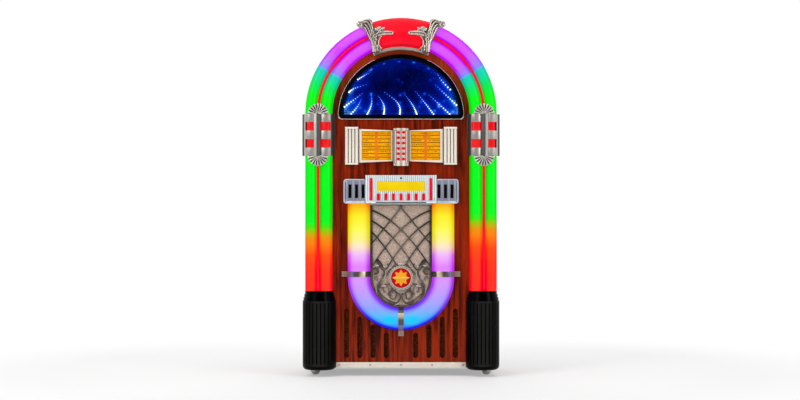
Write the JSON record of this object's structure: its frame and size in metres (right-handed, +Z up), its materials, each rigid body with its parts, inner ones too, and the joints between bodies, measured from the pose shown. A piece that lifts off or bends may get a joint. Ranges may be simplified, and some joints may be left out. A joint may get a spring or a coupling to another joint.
{
  "type": "bluetooth jukebox",
  "caption": "Full-size round-topped wireless jukebox with lit pillars and arch, mirror dome, title rack with push buttons, key panel and horseshoe light round the speaker grille.",
  "frame": {"origin": "on the floor, under the middle of the whole object's box", "axes": "+Z up, the front faces -Y, +X to the right as seen from the front"},
  "size_m": [0.7992, 0.4423, 1.45],
  "materials": {
    "walnut": "gloss lacquer",
    "board": "bare board",
    "kick_metal": "satin",
    "screw_steel": "satin",
    "band_lens": "lit, translucent",
    "stripe_red": "lit, translucent",
    "led_white": "matt",
    "crest_red": "lit, translucent",
    "cast_pewter": "antique polish",
    "clamp_metal": "brushed",
    "boot_black": "gloss",
    "bezel_black": "gloss",
    "dome_glass": "tinted",
    "dome_mirror": "polished",
    "ivory": "satin",
    "card_yellow": "satin",
    "button_red": "gloss",
    "panel_pale": "satin",
    "wing_chrome": "polished",
    "plate_yellow": "gloss",
    "tube_lens": "lit, translucent",
    "strap_metal": "polished",
    "grille_pewter": "antique",
    "cloth_tan": "woven",
    "emblem_red": "gloss",
    "driver_black": "matt",
    "works_metal": "satin",
    "plate_black": "satin",
    "rocker_black": "matt",
    "caster_metal": "polished",
    "caster_tread": "clear grey tread"
  },
  "bodies": {
    "cabinet": {"cabinet_shell": "walnut", "base_board": "board", "rear_panel": "board", "front_panel": "walnut", "kick_strip": "kick_metal", "panel_screws": "screw_steel", "arch_lenses": "band_lens", "arch_stripes": "stripe_red", "light_strips": "led_white", "crest_lens": "crest_red", "crest_frame": "cast_pewter", "clamp_bands": "clamp_metal", "clamp_liners": "stripe_red", "boots": "boot_black", "dome_bezel": "bezel_black", "dome_glass": "dome_glass", "dome_mirror_box": "dome_mirror", "title_rack": "ivory", "title_cards": "card_yellow", "button_column": "ivory", "key_panel": "panel_pale", "wing_grilles": "wing_chrome", "panel_bars": "button_red", "yellow_plate": "plate_yellow", "horseshoe_tube": "tube_lens", "tube_straps": "strap_metal", "grille_casting": "grille_pewter", "speaker_cloth": "cloth_tan", "emblem_disc": "emblem_red", "woofers": "driver_black", "electronics": "works_metal", "terminal_plate": "plate_black"},
    "power_rocker": {"power_rocker": "rocker_black"},
    "select_button_1": {"select_button_1": "button_red"},
    "select_button_2": {"select_button_2": "button_red"},
    "select_button_3": {"select_button_3": "button_red"},
    "select_button_4": {"select_button_4": "button_red"},
    "select_button_5": {"select_button_5": "button_red"},
    "select_button_6": {"select_button_6": "button_red"},
    "select_button_7": {"select_button_7": "button_red"},
    "select_button_8": {"select_button_8": "button_red"},
    "select_button_9": {"select_button_9": "button_red"},
    "select_button_10": {"select_button_10": "button_red"},
    "select_button_11": {"select_button_11": "button_red"},
    "select_button_12": {"select_button_12": "button_red"},
    "control_key_1": {"control_key_1": "button_red"},
    "control_key_2": {"control_key_2": "button_red"},
    "control_key_3": {"control_key_3": "button_red"},
    "control_key_4": {"control_key_4": "button_red"},
    "control_key_5": {"control_key_5": "button_red"},
    "control_key_6": {"control_key_6": "button_red"},
    "control_key_7": {"control_key_7": "button_red"},
    "caster_fork_1": {"caster_fork_1": "caster_metal"},
    "caster_fork_2": {"caster_fork_2": "caster_metal"},
    "caster_fork_3": {"caster_fork_3": "caster_metal"},
    "caster_fork_4": {"caster_fork_4": "caster_metal"},
    "caster_wheel_1": {"caster_wheel_1": "caster_tread"},
    "caster_wheel_2": {"caster_wheel_2": "caster_tread"},
    "caster_wheel_3": {"caster_wheel_3": "caster_tread"},
    "caster_wheel_4": {"caster_wheel_4": "caster_tread"}
  },
  "joints": [
    {"name": "select_button_1_press", "type": "slide", "parent": "cabinet", "child": "select_button_1", "axis": [0, 1, 0], "range_m": [0, 0.003], "stiffness_N_per_m": 300},
    {"name": "select_button_2_press", "type": "slide", "parent": "cabinet", "child": "select_button_2", "axis": [0, 1, 0], "range_m": [0, 0.003], "stiffness_N_per_m": 300},
    {"name": "select_button_3_press", "type": "slide", "parent": "cabinet", "child": "select_button_3", "axis": [0, 1, 0], "range_m": [0, 0.003], "stiffness_N_per_m": 300},
    {"name": "select_button_4_press", "type": "slide", "parent": "cabinet", "child": "select_button_4", "axis": [0, 1, 0], "range_m": [0, 0.003], "stiffness_N_per_m": 300},
    {"name": "select_button_5_press", "type": "slide", "parent": "cabinet", "child": "select_button_5", "axis": [0, 1, 0], "range_m": [0, 0.003], "stiffness_N_per_m": 300},
    {"name": "select_button_6_press", "type": "slide", "parent": "cabinet", "child": "select_button_6", "axis": [0, 1, 0], "range_m": [0, 0.003], "stiffness_N_per_m": 300},
    {"name": "select_button_7_press", "type": "slide", "parent": "cabinet", "child": "select_button_7", "axis": [0, 1, 0], "range_m": [0, 0.003], "stiffness_N_per_m": 300},
    {"name": "select_button_8_press", "type": "slide", "parent": "cabinet", "child": "select_button_8", "axis": [0, 1, 0], "range_m": [0, 0.003], "stiffness_N_per_m": 300},
    {"name": "select_button_9_press", "type": "slide", "parent": "cabinet", "child": "select_button_9", "axis": [0, 1, 0], "range_m": [0, 0.003], "stiffness_N_per_m": 300},
    {"name": "select_button_10_press", "type": "slide", "parent": "cabinet", "child": "select_button_10", "axis": [0, 1, 0], "range_m": [0, 0.003], "stiffness_N_per_m": 300},
    {"name": "select_button_11_press", "type": "slide", "parent": "cabinet", "child": "select_button_11", "axis": [0, 1, 0], "range_m": [0, 0.003], "stiffness_N_per_m": 300},
    {"name": "select_button_12_press", "type": "slide", "parent": "cabinet", "child": "select_button_12", "axis": [0, 1, 0], "range_m": [0, 0.003], "stiffness_N_per_m": 300},
    {"name": "control_key_1_press", "type": "slide", "parent": "cabinet", "child": "control_key_1", "axis": [0, 1, 0], "range_m": [0, 0.003], "stiffness_N_per_m": 300},
    {"name": "control_key_2_press", "type": "slide", "parent": "cabinet", "child": "control_key_2", "axis": [0, 1, 0], "range_m": [0, 0.003], "stiffness_N_per_m": 300},
    {"name": "control_key_3_press", "type": "slide", "parent": "cabinet", "child": "control_key_3", "axis": [0, 1, 0], "range_m": [0, 0.003], "stiffness_N_per_m": 300},
    {"name": "control_key_4_press", "type": "slide", "parent": "cabinet", "child": "control_key_4", "axis": [0, 1, 0], "range_m": [0, 0.003], "stiffness_N_per_m": 300},
    {"name": "control_key_5_press", "type": "slide", "parent": "cabinet", "child": "control_key_5", "axis": [0, 1, 0], "range_m": [0, 0.003], "stiffness_N_per_m": 300},
    {"name": "control_key_6_press", "type": "slide", "parent": "cabinet", "child": "control_key_6", "axis": [0, 1, 0], "range_m": [0, 0.003], "stiffness_N_per_m": 300},
    {"name": "control_key_7_press", "type": "slide", "parent": "cabinet", "child": "control_key_7", "axis": [0, 1, 0], "range_m": [0, 0.003], "stiffness_N_per_m": 300},
    {"name": "power_rocker_tilt", "type": "hinge", "parent": "cabinet", "child": "power_rocker", "pos_m": [0.006, 0.217, 0.3], "axis": [-1, 0, 0], "range_deg": [0, 20]},
    {"name": "caster_1_swivel", "type": "hinge", "parent": "cabinet", "child": "caster_fork_1", "pos_m": [-0.34, -0.097, 0.043], "axis": [0, 0, 1], "continuous": true},
    {"name": "caster_2_swivel", "type": "hinge", "parent": "cabinet", "child": "caster_fork_2", "pos_m": [0.34, -0.097, 0.043], "axis": [0, 0, 1], "continuous": true},
    {"name": "caster_3_swivel", "type": "hinge", "parent": "cabinet", "child": "caster_fork_3", "pos_m": [-0.34, 0.161, 0.043], "axis": [0, 0, 1], "continuous": true},
    {"name": "caster_4_swivel", "type": "hinge", "parent": "cabinet", "child": "caster_fork_4", "pos_m": [0.34, 0.161, 0.043], "axis": [0, 0, 1], "continuous": true},
    {"name": "caster_1_roll", "type": "hinge", "parent": "caster_fork_1", "child": "caster_wheel_1", "pos_m": [-0.34983, -0.09012, 0.019], "axis": [0.5736, 0.8192, 0], "continuous": true},
    {"name": "caster_2_roll", "type": "hinge", "parent": "caster_fork_2", "child": "caster_wheel_2", "pos_m": [0.34983, -0.09012, 0.019], "axis": [0.5736, -0.8192, 0], "continuous": true},
    {"name": "caster_3_roll", "type": "hinge", "parent": "caster_fork_3", "child": "caster_wheel_3", "pos_m": [-0.34983, 0.16788, 0.019], "axis": [0.5736, 0.8192, 0], "continuous": true},
    {"name": "caster_4_roll", "type": "hinge", "parent": "caster_fork_4", "child": "caster_wheel_4", "pos_m": [0.34983, 0.16788, 0.019], "axis": [0.5736, -0.8192, 0], "continuous": true}
  ]
}
